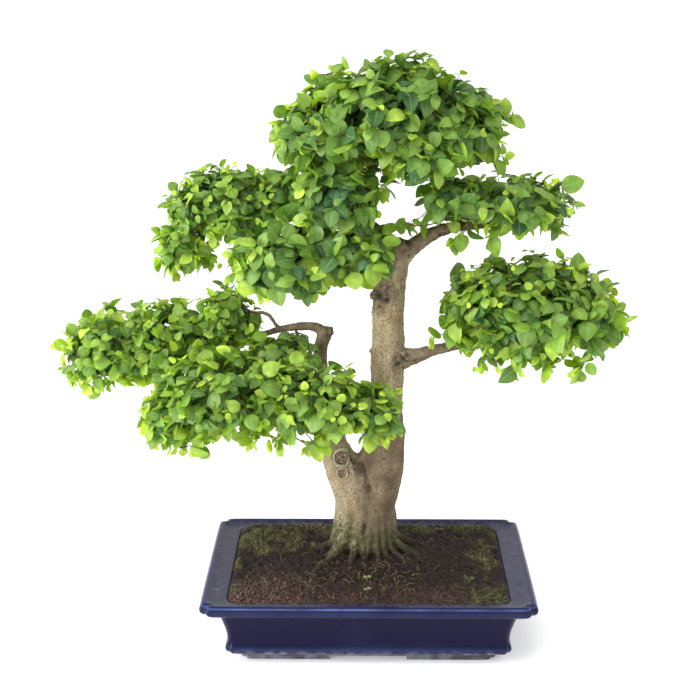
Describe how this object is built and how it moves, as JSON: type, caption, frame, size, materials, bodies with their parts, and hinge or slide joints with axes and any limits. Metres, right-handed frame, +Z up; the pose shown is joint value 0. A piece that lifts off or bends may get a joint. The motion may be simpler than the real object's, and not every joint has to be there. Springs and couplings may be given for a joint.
{
  "type": "potted privet bonsai",
  "caption": "Privet bonsai with a twin trunk and rounded foliage pads, rooted in moist soil in a low rectangular glazed tray pot with an unglazed foot.",
  "frame": {"origin": "centre of the bounding box in plan, on the surface that the pot's feet stand on", "axes": "+Z up the trunk, +X to the right of the tree's front, +Y away from its front"},
  "size_m": [0.619, 0.254, 0.6347],
  "materials": {
    "pot_glaze": "glossy dark blue glaze, with a bare stoneware foot",
    "potting_soil": "moist dark brown humus, rough and matte",
    "screen_plastic": "dark matte netting",
    "bark": "pale grey-brown bark, smooth with fine dark pores and old pruning scars",
    "leaves": "fresh green leaves with a soft sheen"
  },
  "bodies": {
    "root": {"pot": "pot_glaze", "soil": "potting_soil", "drain_screen_left": "screen_plastic", "drain_screen_right": "screen_plastic", "tree_wood": "bark", "foliage_crown": "leaves", "foliage_crown_left": "leaves", "foliage_right_upper": "leaves", "foliage_left_upper": "leaves", "foliage_left_middle": "leaves", "foliage_right_lower": "leaves", "foliage_left_lower_far": "leaves", "foliage_left_lower_near": "leaves"}
  },
  "joints": []
}
